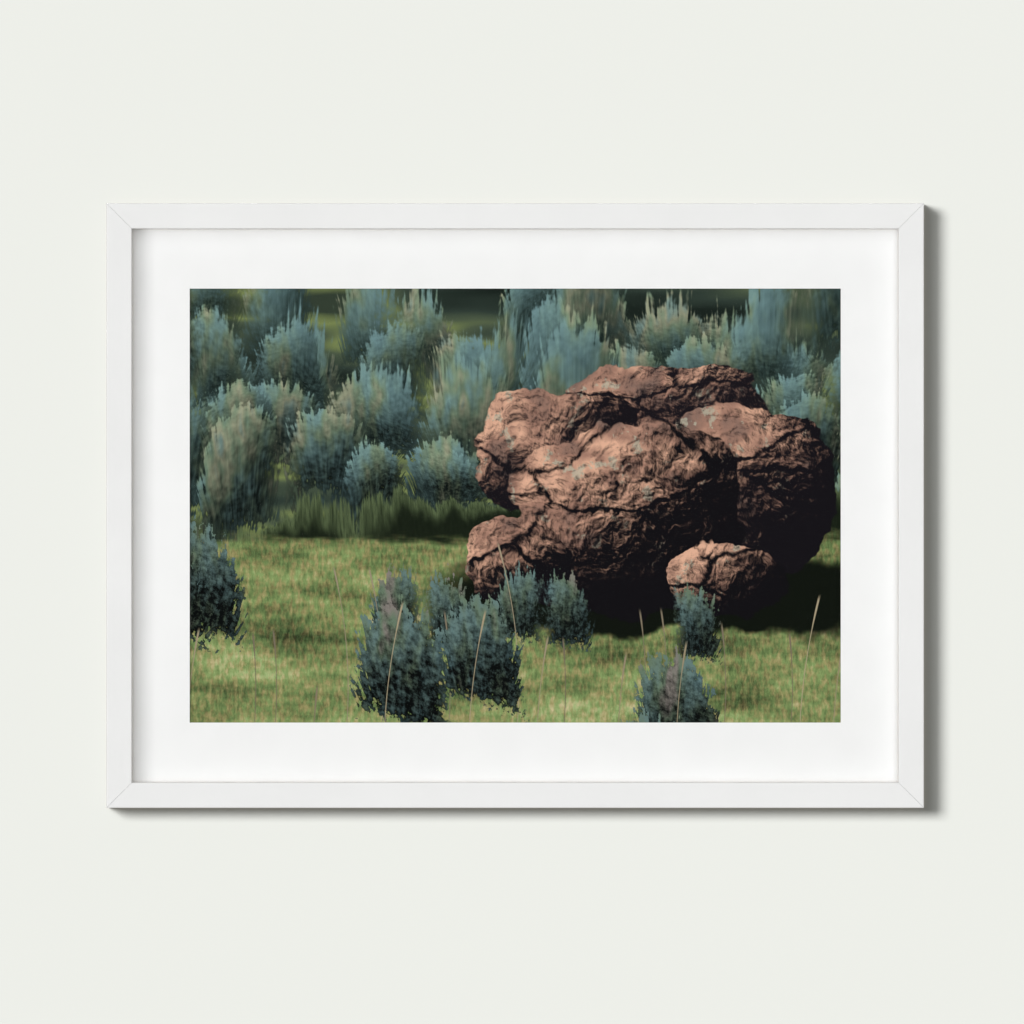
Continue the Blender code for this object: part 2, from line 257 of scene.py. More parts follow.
def shrub_brush():
    """A row of sagebrush: domes of upright sprigs with small leaves, lit from the upper left."""
    group, add, given = start_brush("Sage row", SAGE)
    place = add("SeparateXYZ", given["Place"])
    across = add("Math DIVIDE", place.outputs[0], given["Size"])
    across = add("Math MULTIPLY_ADD", given["Seed"], 17.3, across)
    cell = add("TexVoronoi 1D", W=across, Scale=1, Randomness=0.55)
    centre = cell.outputs["W"]
    chance = add("TexWhiteNoise 1D", W=centre)
    # From here on places are counted from the middle of the nearest plant, in plant sizes.
    x = add("Math SUBTRACT", across, centre)
    y = add("Math MULTIPLY_ADD", place.outputs[0], given["Tilt"], place.outputs[1])
    y = add("Math SUBTRACT", y, given["Base"])
    y = add("Math DIVIDE", y, given["Size"])
    y = add("Math MULTIPLY_ADD", chance, 0.4, y)
    # The sprigs fan out from a root below the ground.
    root = add("Math ADD", y, 1.1)
    angle = add("Math ARCTAN2", x, root)
    far = add("VectorMath LENGTH", add("CombineXYZ", x, root))
    shift = add("Math MULTIPLY", centre, 5.3)
    sprigs = add("Math MULTIPLY_ADD", angle, given["Sprigs"], shift)
    sprigs = add("CombineXYZ", sprigs, far)
    detail = given["Detail"]
    sprigs = stretched(add, "TexNoise 2D", sprigs, (1, 2.6, 1), Detail=detail, Roughness=0.68)
    leaves = add("CombineXYZ", across, y)
    leaves = add("TexNoise 2D", leaves, Scale=13, Detail=detail, Roughness=0.7)
    tuft = add("Mix", given["Leaf"], sprigs, leaves)
    ragged = add("Mix", 0.5, sprigs, tuft)
    tuft = add("MapRange", tuft, 0.3, 0.7, clamp=False)
    # The outline is a dome whose edge follows the sprigs, and it ends near the ground.
    above = add("Math MAXIMUM", y, 0)
    dome = add("CombineXYZ", x, above)
    dome = add("VectorMath MULTIPLY", dome, (2.05, 1.25, 1))
    dome = add("VectorMath LENGTH", dome)
    spikes = add("Math SUBTRACT", ragged, 0.5)
    spikes = add("Math MULTIPLY_ADD", spikes, given["Spikes"], 0.86)
    inside = add("Math SUBTRACT", spikes, dome)
    foot = add("Math MULTIPLY_ADD", tuft, 0.3, y)
    foot = add("Math ADD", foot, 0.2)
    inside = add("Math MINIMUM", inside, foot)
    # Each keeps clear of the next, and some places in the row are empty.
    gap = {"feature": "DISTANCE_TO_EDGE", "W": across, "Scale": 1, "Randomness": 0.55}
    gap = add("TexVoronoi 1D", **gap)
    gap = add("Math MULTIPLY_ADD", gap, 2.2, -0.42)
    gap = add("Math MULTIPLY_ADD", tuft, 0.5, gap)
    gap = add("Math MULTIPLY", gap, given["Size"])
    inside = add("Math MINIMUM", inside, gap)
    grown = add("SeparateXYZ", chance.outputs["Color"]).outputs[1]
    grown = add("Math SUBTRACT", grown, given["Gaps"])
    grown = add("Math MULTIPLY", grown, 1000)
    inside = add("Math MINIMUM", inside, grown)
    inside = add("Math MULTIPLY", inside, given["Size"])
    light = add("CombineXYZ", x, y)
    light = add("VectorMath DOT_PRODUCT", light, (-0.6, 1.2, 0))
    light = add("MapRange SMOOTHSTEP", light, -0.25, 0.95, 0.1, 0.95)
    tuft = add("Math SUBTRACT", tuft, 0.5)
    light = add("Math MULTIPLY_ADD", tuft, given["Contrast"], light)
    return end_brush(group, given, inside, light)


def boulder_brush():
    """A weathered boulder: a lumpy dome lit from the upper left, dark where it meets the ground."""
    vectors = ("Centre", "Radius", "Lumps")
    group, add, given = start_brush("Boulder", ("Relief", "Softness"), vectors)
    local = add("VectorMath SUBTRACT", given["Place"], given["Centre"])
    local = add("VectorMath MULTIPLY_ADD", given["Lumps"], (0.12, 0.12, 0), local)
    local = add("VectorMath DIVIDE", local, given["Radius"])
    # A shape between a round and a box is nearer to a broken stone than a round one.
    box = add("VectorMath ABSOLUTE", local)
    box = add("VectorMath MULTIPLY", box, box)
    size = add("VectorMath LENGTH", box)
    depth = add("Math SUBTRACT", 1.05, size, use_clamp=True)
    depth = add("Math SQRT", depth)
    flat = add("SeparateXYZ", local)
    normal = add("CombineXYZ", flat.outputs[0], flat.outputs[1], depth)
    normal = add("VectorMath NORMALIZE", normal)
    light = add("VectorMath DOT_PRODUCT", normal, (-0.62, 0.75, 0.2))
    light = add("Math MULTIPLY_ADD", given["Relief"], 0.9, light)
    light = add("MapRange SMOOTHSTEP", light, -0.05, 1.08)
    ground = add("MapRange SMOOTHSTEP", flat.outputs[1], -1, -0.1, 0.1, 1)
    light = add("Math MULTIPLY", light, ground)
    inside = add("Math SUBTRACT", 0.98, size)
    return end_brush(group, given, inside, light)


def stalk_brush():
    """Single dry stalks, each with a seed head, far apart and a little out of line."""
    group, add, given = start_brush("Dry stalks", STALKS)
    place = add("SeparateXYZ", given["Place"])
    rise = add("Math SUBTRACT", place.outputs[1], given["Base"])
    rise = add("Math DIVIDE", rise, given["Length"])
    # A stalk bows to one side as it rises, and its head is thicker than its stem.
    bow = add("Math MULTIPLY", rise, rise)
    bow = add("Math MULTIPLY_ADD", bow, given["Lean"], place.outputs[0])
    across = add("Math DIVIDE", bow, given["Spacing"])
    across = add("Math MULTIPLY_ADD", given["Seed"], 9.7, across)
    cell = add("TexVoronoi 1D", W=across, Scale=1)
    chance = add("TexWhiteNoise 1D", W=cell.outputs["W"])
    tall = add("MapRange", chance, 0, 1, 0.3, 1)
    tip = add("Math SUBTRACT", tall, rise)
    head = add("MapRange SMOOTHSTEP", tip, 0.2, 0.05, 0, 1.4)
    half = add("Math ADD", head, 1)
    half = add("Math MULTIPLY", half, given["Width"])
    away = add("Math MULTIPLY", cell.outputs["Distance"], given["Spacing"])
    side = add("Math SUBTRACT", half, away)
    above = add("Math MULTIPLY", given["Length"], 0.09)
    above = add("Math MULTIPLY", tip, above)
    inside = add("Math MINIMUM", side, above)
    light = add("Math MULTIPLY_ADD", chance, 0.6, 0.4)
    return end_brush(group, given, inside, light)


def paint_meadow(add, place, under):
    """Short grass that runs back to the sage bank: fine blades, and pale patches that lie flat."""
    blades = stretched(add, "TexNoise 2D", place, (110, 42, 1), Detail=3, Roughness=0.7)
    patches = stretched(add, "TexNoise 2D", place, (2.6, 11, 1), Detail=4, Roughness=0.6)
    tone = add("Math MULTIPLY_ADD", blades, 0.5, patches)
    steps = (0.44, 0.6, 0.72, 0.84, 1)
    greens = zip(steps, ("#3A4A29", "#5A6E3F", "#6D8149", "#7E9255", "#95A56D"))
    greens = add("ValToRGB", tone, stops=greens)
    straws = zip(steps, ("#4A4A2E", "#747046", "#8C8654", "#9C9462", "#B2A880"))
    straws = add("ValToRGB", tone, stops=straws)
    dry = stretched(add, "TexNoise 2D", place, (75, 40, 1), Detail=2, Roughness=0.6)
    dry = add("MapRange", dry, 0.4, 0.68)
    tone = add("Mix RGBA", dry, greens, straws)
    height = add("SeparateXYZ", place).outputs[1]
    edge = add("Math MULTIPLY_ADD", patches, 0.16, height)
    mask = add("MapRange SMOOTHSTEP", edge, 0.02, -0.02)
    return add("Mix RGBA", mask, under, tone)


def stone_textures(add, place):
    """What all stones share: the lumps of their outline, their relief and their colours."""
    lumps = add("TexNoise 2D", place, Scale=6, Detail=4, Roughness=0.55)
    lumps = add("VectorMath SUBTRACT", lumps.outputs["Color"], (0.5, 0.5, 0.5))
    bent = add("VectorMath MULTIPLY_ADD", lumps, (0.1, 0.1, 0), place)
    heights = []
    # The relief is the height here less the height a little nearer to the light.
    for towards_light in ((0, 0, 0), (-0.0045, 0.006, 0)):
        at = add("VectorMath ADD", bent, towards_light)
        slabs = stretched(add, "TexVoronoi 2D", at, (5, 9.5, 1))
        grit = add("TexNoise 2D", at, Scale=20, Detail=5, Roughness=0.74)
        heights.append(add("Math MULTIPLY_ADD", slabs, -0.8, grit))
    relief = add("Math SUBTRACT", heights[0], heights[1])
    relief = add("Math MULTIPLY", relief, 3.4)
    # Cracks part the stone into blocks.
    cracks = stretched(add, "TexVoronoi 2D", bent, (3.1, 6.5, 1), feature="DISTANCE_TO_EDGE")
    cracks = add("MapRange SMOOTHSTEP", cracks, 0, 0.045, 0.7, 0)
    relief = add("Math SUBTRACT", relief, cracks)
    stains = add("VectorMath LENGTH", lumps)
    lit = ((0.06, "#C09679"), (0.18, "#98735F"), (0.34, "#75635C"))
    lit = add("ValToRGB", stains, stops=lit)
    # Lichen lies on the stone in small pale crusts.
    crust = add("TexNoise 2D", place, Scale=17, Detail=4, Roughness=0.7)
    crust = add("MapRange SMOOTHSTEP", crust, 0.6, 0.66, 0, 0.7)
    lit = add("Mix RGBA", crust, lit, "#A5A392")
    return lumps, relief, lit


def paint_row(add, place, under, brush, names, lit, values):
    """A row of plants over what lies under it. The values are the brush's numbers and shade."""
    values = dict(zip((*names, "Shade"), values))
    return add("Group", node_tree=brush, Under=under, Place=place, Lit=lit, **values)


def paint_landscape(add, place):
    """Stones on a meadow at evening, a bank of sage out of focus behind and shrubs in front.

    It is painted from back to front. Places and sizes are in picture heights from its middle.
    """
    wide = add("VectorMath MULTIPLY", place, (0.7, 3.4, 1))
    haze = add("TexNoise 2D", wide, Scale=2.2, Detail=2, Roughness=0.5)
    far = zip((0.32, 0.44, 0.53, 0.6, 0.7), ("#26322C", "#3C4A42", "#55624C", "#76824A", "#404C3E"))
    picture = add("ValToRGB", haze, stops=far)
    # The sage leans from blue-grey to olive and straw from one plant to the next.
    hues = stretched(add, "TexNoise 2D", place, (9, 3.5, 1), Detail=3, Roughness=0.7)
    far_sage = ("#6A888A", "#73908C", "#788B74", "#94967E", "#778E88")
    far_sage = add("ValToRGB", hues, stops=zip((0.34, 0.46, 0.55, 0.64, 0.72), far_sage))
    near_sage = ("#5F7A7C", "#667D79", "#687A66", "#827C76")
    near_sage = add("ValToRGB", hues, stops=zip((0.34, 0.48, 0.58, 0.68), near_sage))
    roll = add("TexNoise 2D", place, Scale=1.9, Detail=2)
    roll = add("Math MULTIPLY_ADD", roll, 0.4, -0.2)
    roll = add("CombineXYZ", Y=roll)
    rolled = add("VectorMath ADD", place, roll)
    tufts, shrub, stalks = tuft_brush(), shrub_brush(), stalk_brush()
    # Each row has the brush's numbers in their order, and its shade.
    far_rows = (
        (0.43, 0.17, 0.10, 0, 0.040, 1, 34, 0.9, 0.60, 0.22, 11, "#25342F"),
        (0.38, 0.21, -0.12, 0.1, 0.036, 1, 36, 0.9, 0.55, 0.24, 12, "#21302C"),
        (0.32, 0.18, 0.10, 0, 0.034, 1, 34, 0.8, 0.65, 0.26, 13, "#1E2C29"),
        (0.26, 0.24, -0.10, 0.2, 0.030, 1, 38, 0.9, 0.55, 0.28, 15, "#1B2826"),
        (0.20, 0.19, 0.06, 0.1, 0.026, 1, 34, 0.8, 0.65, 0.30, 16, "#192523"),
        (0.14, 0.22, -0.05, 0.2, 0.022, 1.2, 36, 0.8, 0.60, 0.34, 14, "#172220"),
        (0.08, 0.16, 0.04, 0.2, 0.018, 1.5, 32, 0.9, 0.65, 0.38, 18, "#151F1D"),
    )
    for row in far_rows:
        picture = paint_row(add, rolled, picture, shrub, SAGE, far_sage, row)
    bank = (0.01, 0.03, 0.10, -0.04, 0.012, 0.05, 4, "#1C2618")
    picture = paint_row(add, rolled, picture, tufts, TUFTS, "#5C6A48", bank)
    picture = paint_meadow(add, place, picture)

    lumps, relief, stone_face = stone_textures(add, place)
    boulder = boulder_brush()
    # The first is the stones' shadow on the grass, so it has one tone and a soft edge.
    for centre, radius, softness, lit, shade in (
        ((0.33, -0.21, 0), (0.52, 0.09, 1), 0.50, "#1A2116", "#1A2116"),
        ((0.34, 0.17, 0), (0.25, 0.16, 1), 0.05, stone_face, "#282229"),
        ((0.10, 0.12, 0), (0.18, 0.15, 1), 0.05, stone_face, "#252027"),
        ((0.56, 0.04, 0), (0.17, 0.19, 1), 0.04, stone_face, "#221E25"),
        ((0.26, -0.04, 0), (0.26, 0.21, 1), 0.03, stone_face, "#1E1B21"),
        ((0.01, -0.13, 0), (0.12, 0.09, 1), 0.04, stone_face, "#1F1C22"),
        ((0.49, -0.17, 0), (0.13, 0.08, 1), 0.04, stone_face, "#1E1B21"),
    ):
        stone = {"Centre": centre, "Radius": radius, "Softness": softness, "Shade": shade}
        stone |= {"Lumps": lumps, "Relief": relief, "Lit": lit}
        picture = add("Group", node_tree=boulder, Under=picture, Place=place, **stone)

    near_rows = (
        (-0.25, 0.15, 0.10, 0.45, 0.010, 3, 21, 1.4, 0.60, 0.9, 1, "#161D1B"),
        (-0.42, 0.34, 0.13, 0.0008, 0.05, 0.0018, 5, "#4F4A40"),
        (-0.35, 0.22, 0.28, 0.40, 0.008, 3, 21, 1.4, 0.65, 1.0, 2, "#111716"),
        (-0.47, 0.26, 0.40, 0.45, 0.007, 3, 21, 1.4, 0.70, 1.0, 4, "#0E1413"),
        (-0.58, 0.42, 0.19, 0.0009, -0.06, 0.0018, 9, "#57503F"),
    )
    for row, straw in zip(near_rows, (None, "#9A8E76", None, None, "#A4977B")):
        plant = (stalks, STALKS, straw) if straw else (shrub, SAGE, near_sage)
        picture = paint_row(add, place, picture, *plant, row)
    return picture


def inkjet_photo_paper(sizes):
    """Inkjet picture on semi-matt photo paper, which gives deep tones and a soft sheen."""
    sheen = {"Roughness": 0.6, "Specular_IOR_Level": 0.01}
    material, add, where = start_material("inkjet_on_photo_paper", **sheen)
    flat = add("SeparateXYZ", where)
    place = add("CombineXYZ", flat.outputs[0], flat.outputs[2])
    place = add("VectorMath SCALE", place, 1 / sizes.window_height)
    picture = paint_landscape(add, place)
    picture = add("Gamma", picture, 1.38)
    picture = add("HueSaturation", Color=picture, Saturation=0.8, Value=1.82)
    # Ink dots are finer than anything visible, so the paper's tooth is drawn 0.9 mm apart.
    tooth = add("TexNoise", where, Scale=1100, Detail=1)
    fleck = add("MapRange", tooth, 0.25, 0.75, 0.93, 1.07)
    picture = add("VectorMath SCALE", picture, fleck)
    return wire(material, Base_Color=picture)


def satin_lacquer(colours, turned):
    """Satin lacquer sprayed on sanded pine: an even white whose long grain is just raised."""
    name = "satin_lacquer_upright" if turned else "satin_lacquer_level"
    material, add, where = start_material(name, IOR=1.5, Specular_IOR_Level=0.35)
    # Raised grain lines are 0.8 mm apart and 40 mm long. The spray's orange peel is 2.5 mm wide.
    grain = add("Mapping", where, Scale=(1250, 1250, 25) if turned else (25, 1250, 1250))
    grain = add("TexNoise", grain, Scale=1, Detail=2, Roughness=0.5)
    peel = add("TexNoise", where, Scale=400, Detail=1)
    height = add("Math MULTIPLY_ADD", grain, 0.6, peel)
    cloud = add("TexNoise", where, Scale=12, Detail=3)
    cloud = add("MapRange", cloud, 0.3, 0.7, 0.975, 1.01)
    tone = add("VectorMath SCALE", colours.lacquer[:3], cloud)
    rough = add("MapRange", grain, 0.3, 0.7, 0.38, 0.48)
    return end_material(material, height, 0.25, Base_Color=tone, Roughness=rough)


def bare_pine(colours, turned):
    """Planed softwood, left bare: straight rings, pores, and lacquer misted over its outer edge."""
    name = "bare_pine_upright" if turned else "bare_pine_level"
    material, add, where = start_material(name, IOR=1.5, Specular_IOR_Level=0.25)
    # The rings are 2.2 mm apart round a heart in front of the frame, and wander along the rail.
    long = add("Mapping", where, Scale=(30, 30, 3) if turned else (3, 30, 30))
    drift = add("TexNoise", long, Scale=1, Detail=2)
    offset, flat = ((0.33, 0.06, 0), (1, 1, 0)) if turned else ((0, 0.06, 0.23), (0, 1, 1))
    heart = add("Mapping", where, Location=offset, Scale=flat)
    ring = add("VectorMath LENGTH", heart)
    ring = add("Math MULTIPLY_ADD", drift, 0.014, ring)
    ring = add("Math DIVIDE", ring, 0.0022)
    ring = add("Math FRACT", ring)
    pores = add("Mapping", where, Scale=(2500, 2500, 60) if turned else (60, 2500, 2500))
    pores = add("TexNoise", pores, Scale=1, Detail=2)
    ring = add("Math MULTIPLY_ADD", pores, 0.25, ring)
    woods = ("#E4CBA0", "#DABA88", "#C79C63", "#B98950", "#DDC294")
    tone = add("ValToRGB", ring, stops=zip((0.12, 0.55, 0.85, 0.97, 1), woods))
    tint = add("Mix RGBA", 0.35, tone, tuple(colours.pine))
    away = add("VectorMath ABSOLUTE", where)
    away = add("VectorMath SUBTRACT", (WIDTH / 2, 1, HEIGHT / 2), away)
    away = add("SeparateXYZ", away)
    away = add("Math MINIMUM", away.outputs[0], away.outputs[2])
    mist = add("TexNoise", where, Scale=900, Detail=3)
    mist = add("Math MULTIPLY_ADD", mist, -0.004, away)
    mist = add("MapRange SMOOTHSTEP", mist, 0.001, -0.0012, 0, 0.9)
    tint = add("Mix RGBA", mist, tint, tuple(colours.lacquer))
    rough = add("MapRange", pores, 0.3, 0.7, 0.65, 0.8)
    return end_material(material, ring, 0.3, Base_Color=tint, Roughness=rough)


def museum_board(colours):
    """Cotton mat board: a dead matt face with a fine paper tooth."""
    matt = {"IOR": 1.45, "Specular_IOR_Level": 0.15, "Roughness": 0.95}
    material, add, where = start_material("cotton_mat_board", **matt)
    # The tooth is 0.3 mm across on the real board and drawn 1 mm across, so that it shows.
    tooth = add("TexNoise", where, Scale=1000, Detail=2, Roughness=0.6)
    pulp = add("TexNoise", where, Scale=30, Detail=3)
    pulp = add("MapRange", pulp, 0.3, 0.7, 0.985, 1.008)
    fleck = add("MapRange", tooth, 0.3, 0.7, 0.985, 1.012)
    tone = add("Math MULTIPLY", pulp, fleck)
    tone = add("VectorMath SCALE", colours.mat[:3], tone)
    return end_material(material, tooth, 0.25, Base_Color=tone)


def board_core():
    """The mat's cut bevel: bright cotton core, with the plies as faint lines."""
    matt = {"IOR": 1.45, "Specular_IOR_Level": 0.1, "Roughness": 0.95}
    material, add, where = start_material("cut_cotton_core", **matt)
    plies = add("Mapping", where, Scale=(60, 3300, 60))
    plies = add("TexNoise", plies, Scale=1, Detail=2)
    tone = add("ValToRGB", plies, stops=((0.35, "#F4F4F1"), (0.6, "#FCFCFA")))
    return wire(material, Base_Color=tone)


def clear_acrylic():
    """Cast acrylic with a low-reflection coat: it shows only as a faint sheen, and wipe marks."""
    clear = {"IOR": 1.49, "Base_Color": "#2E3332", "Alpha": 0.02, "Specular_IOR_Level": 0.02}
    material, add, where = start_material("clear_acrylic", **clear)
    smear = add("TexNoise", where, Scale=9, Detail=2, Distortion=0.8)
    smear = add("MapRange", smear, 0.35, 0.7, 0.05, 0.16)
    return wire(material, Roughness=smear)


def foam_centred_board():
    """Foam board: smooth white paper on both faces of a polystyrene core."""
    smooth = {"IOR": 1.45, "Specular_IOR_Level": 0.2}
    material, add, where = start_material("paper_faced_foam_board", **smooth)
    cells = add("TexVoronoi", where, Scale=1200)
    tone = add("ValToRGB", cells, stops=((0.1, "#EFEFEC"), (0.7, "#E4E4E0")))
    rough = add("MapRange", cells, 0, 0.7, 0.7, 0.85)
    return wire(material, Base_Color=tone, Roughness=rough)


def pressed_hardboard(colours):
    """Hardboard: wood fibre hot-pressed to a hard brown face, mottled, with darker shives."""
    material, add, where = start_material("pressed_hardboard", IOR=1.5, Specular_IOR_Level=0.3)
    # Fibre bundles, 4 mm long and 0.5 mm thick, lie every way. Two turned sets draw them.
    bundles = add("TexNoise", where, Scale=40, Detail=5, Roughness=0.65)
    for angle in (0.5, 2):
        turn = add("Mapping", where, Rotation=(0, angle, 0), Scale=(250, 250, 1500))
        turn = add("TexNoise", turn, Scale=1, Detail=3, Roughness=0.6)
        bundles = add("Math MULTIPLY_ADD", turn, 1.2, bundles)
    light = add("MapRange", bundles, 1.3, 2.1, 0.7, 1.3)
    tone = add("VectorMath SCALE", colours.hardboard[:3], light)
    shives = add("Mapping", where, Rotation=(0, 1.1, 0), Scale=(90, 90, 420))
    shives = add("TexVoronoi", shives, Scale=1)
    shives = add("MapRange", shives, 0.1, 0.16, 0.55, 0)
    tone = add("Mix RGBA", shives, tone, "#4A3220")
    rough = add("MapRange", bundles, 1.3, 2.1, 0.42, 0.62)
    return end_material(material, bundles, 0.2, Base_Color=tone, Roughness=rough)


def zinc_plate():
    """Spring steel, barrel zinc-plated: grey and satin, cloudy, with fine rolling lines."""
    material, add, where = start_material("zinc_plated_spring_steel", Metallic=1)
    cloud = add("TexNoise", where, Scale=350, Detail=3)
    tone = add("ValToRGB", cloud, stops=((0.3, "#A9ADAF"), (0.7, "#C6C9C9")))
    lines = add("Mapping", where, Scale=(6000, 6000, 500))
    lines = add("TexNoise", lines, Scale=1, Detail=2)
    rough = add("MapRange", lines, 0.3, 0.7, 0.28, 0.46)
    return end_material(material, lines, 0.1, 0.00005, Base_Color=tone, Roughness=rough)


def brass_plate():
    """Pressed steel with thin brass plating: warm, a little dulled, and brighter on worn ridges."""
    material, add, where = start_material("brass_plated_steel", Metallic=1)
    cloud = add("TexNoise", where, Scale=260, Detail=4, Roughness=0.6)
    tone = ((0.3, "#A88444"), (0.5, "#C9A45A"), (0.72, "#D9BC78"))
    tone = add("ValToRGB", cloud, stops=tone)
    rough = add("MapRange", cloud, 0.3, 0.7, 0.42, 0.24)
    return end_material(material, cloud, 0.08, Base_Color=tone, Roughness=rough)


def bumper_rubber():
    """Cast polyurethane: soft, grey and slightly milky, with dust on it."""
    milky = {"IOR": 1.5, "Subsurface_Weight": 0.3, "Subsurface_Scale": 0.002}
    material, add, where = start_material("cast_polyurethane", **milky)
    dust = add("TexNoise", where, Scale=900, Detail=3)
    tone = add("ValToRGB", dust, stops=((0.35, "#B9BAB7"), (0.7, "#CFCFCB")))
    rough = add("MapRange", dust, 0.3, 0.7, 0.35, 0.6)
    return wire(material, Base_Color=tone, Roughness=rough)


def room_paint(name, colour):
    """Matt emulsion, so flat and even that the camera sees one tone."""
    return start_material(name, Base_Color=colour, Roughness=0.9, Specular_IOR_Level=0.1)[0]


# Pieces


def keep_flats(mesh, sharp):
    """Smooth shading weighted by area, so that a wide face stays flat up to its rounded edge."""
    around = {}
    for face in mesh.polygons:
        for vert in face.vertices:
            around.setdefault(vert, []).append(face)
    normals = []
    for face in mesh.polygons:
        for vert in face.vertices:
            near = (f for f in around[vert] if f.normal.angle(face.normal) < sharp)
            normals.append(sum((f.normal * f.area for f in near), Vector()).normalized())
    mesh.normals_split_custom_set(normals)


def finish_piece(name, bm, materials, slot, *nodes, sharp=None):
    """Turns a bmesh into a piece that rides on the frame and stands for these CAD nodes."""
    bmesh.ops.remove_doubles(bm, verts=bm.verts, dist=0.000002)
    bm.normal_update()
    bmesh.ops.recalc_face_normals(bm, faces=bm.faces)
    mesh = bpy.data.meshes.new(name)
    bm.to_mesh(mesh)
    bm.free()
    for material in materials:
        mesh.materials.append(material)
    if sharp:
        keep_flats(mesh, math.radians(sharp))
    piece = bpy.data.objects.new(name, mesh)
    bpy.context.scene.collection.objects.link(piece)
    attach(piece, "root")
    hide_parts(*nodes)
    return piece


def round_edges(bm, edges, radius, segments):
    """Rounds edges. With material -1 the new faces keep the material of their neighbours."""
    options = {"profile": 0.5, "affect": "EDGES", "material": -1, "clamp_overlap": True}
    bmesh.ops.bevel(bm, geom=edges, offset=radius, segments=segments, **options)


def thin_rims(bm, thick):
    """The sharp edges round both faces of a bent or flat sheet, without those across its cut."""
    sharp = (e for e in bm.edges if e.is_manifold and e.calc_face_angle() > math.radians(52))
    return [e for e in sharp if abs(e.verts[0].co.y - e.verts[1].co.y) < thick / 4]


def extrude(bm, offset):
    """Gives a flat mesh its thickness. The new face ends at the offset."""
    made = bmesh.ops.extrude_face_region(bm, geom=bm.faces[:])["geom"]
    verts = [item for item in made if isinstance(item, bmesh.types.BMVert)]
    bmesh.ops.translate(bm, vec=offset, verts=verts)
    return verts


def nodes_named(start):
    """The CAD nodes whose names start so, in order."""
    return sorted(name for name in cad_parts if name.startswith(start))


def refinish(node, material):
    """Gives a CAD node its finish. Its shape is already right."""
    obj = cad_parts[node]
    obj.data.materials.clear()
    obj.data.materials.append(material)


def rail_mesh(side, sizes):
    """A rail: its section is drawn on the bottom side, mitred, and turned to its own side."""
    turn = {"bottom": 0, "left": 90, "top": 180, "right": -90}[side]
    long, reach = (HEIGHT, WIDTH / 2) if side in ("left", "right") else (WIDTH, HEIGHT / 2)
    section = [(0, FRONT), (FACE, FRONT), (FACE, LIP), (REBATE, LIP), (REBATE, BACK), (0, BACK)]
    bm = bmesh.new()
    bm.faces.new([bm.verts.new((-1, depth, inset)) for inset, depth in section])
    extrude(bm, (2, 0, 0))
    for vert in bm.verts:
        vert.co.x = math.copysign(long / 2 - vert.co.z - sizes.mitre_line / math.sqrt(2), vert.co.x)
    edges = [e for e in bm.edges if e.verts[0].co.x * e.verts[1].co.x < 0]
    for inset, depth, radius, segments in (
        (0, FRONT, sizes.outer_edge, 5),
        (FACE, FRONT, sizes.inner_edge, 4),
        (0, BACK, 0.0008, 3),
    ):
        corner = Vector((inset, depth))
        edges = [e for e in edges if e.is_valid]
        at = [e for e in edges if (corner - e.verts[0].co.zy).length < TOUCH]
        round_edges(bm, at, radius, segments)
    rims = [e for e in bm.edges if any(abs(f.normal.x) > 0.5 for f in e.link_faces)]
    round_edges(bm, rims, sizes.mitre_edge, segments=2)
    # The wood is bare behind the lip. The lacquer goes round the back edge for 0.9 mm.
    for face in bm.faces:
        centre = face.calc_center_median()
        face.material_index = int(centre.y > LIP - 0.0001 and centre.z > 0.0009)
    place = Matrix.Rotation(math.radians(turn), 4, "Y") @ Matrix.Translation((0, 0, -reach))
    bmesh.ops.transform(bm, matrix=place, verts=bm.verts)
    return bm


class FRAMED_PRINT_OT_rails(bpy.types.Operator):
    """Four mitred rails, white in front and bare at the back"""

    bl_idname = "framed_print.rails"
    bl_label = "Rails"

    def execute(self, context):
        sizes, colours = context.scene.framed_print_sizes, context.scene.framed_print_colours
        for turned, sides in ((False, ("top", "bottom")), (True, ("left", "right"))):
            finishes = satin_lacquer(colours, turned), bare_pine(colours, turned)
            for side in sides:
                node = "rail_" + side
                bm = rail_mesh(side, sizes)
                finish_piece(node + "_lacquered", bm, finishes, "white_lacquer", node, sharp=35)
        return {"FINISHED"}


class FRAMED_PRINT_OT_mat(bpy.types.Operator):
    """Window mat with a reverse bevel, so that its cut edge is hidden"""

    bl_idname = "framed_print.mat"
    bl_label = "Window Mat"

    def execute(self, context):
        sizes, colours = context.scene.framed_print_sizes, context.scene.framed_print_colours
        low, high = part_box("mat")
        thick = high.y - low.y
        bm = bmesh.new()
        bmesh.ops.create_grid(bm, x_segments=1, y_segments=1, size=0.5)
        for vert in bm.verts:
            vert.co = (vert.co.x * (high.x - low.x), low.y, vert.co.y * (high.z - low.z))
        bm.normal_update()
        bmesh.ops.inset_region(bm, faces=bm.faces[:], thickness=0.05, use_boundary=True)
        opening = min(bm.faces, key=lambda face: face.calc_center_median().xz.length)
        for vert in opening.verts:
            across = math.copysign(sizes.window_width / 2, vert.co.x)
            vert.co = (across, low.y, math.copysign(sizes.window_height / 2, vert.co.z))
        bmesh.ops.delete(bm, geom=[opening], context="FACES_ONLY")
        # At the back the opening is wider than in front by the board's thickness, all round.
        for vert in extrude(bm, (0, thick, 0)):
            if abs(vert.co.x) < sizes.window_width / 2 + TOUCH:
                vert.co.x += math.copysign(thick, vert.co.x)
                vert.co.z += math.copysign(thick, vert.co.z)
        bm.normal_update()
        for face in bm.faces:
            bevelled = 0.3 < abs(face.normal.y) < 0.9
            face.material_index = int(bevelled)
        finish_piece("mat_cut", bm, (museum_board(colours), board_core()), "mat_board", "mat")
        return {"FINISHED"}


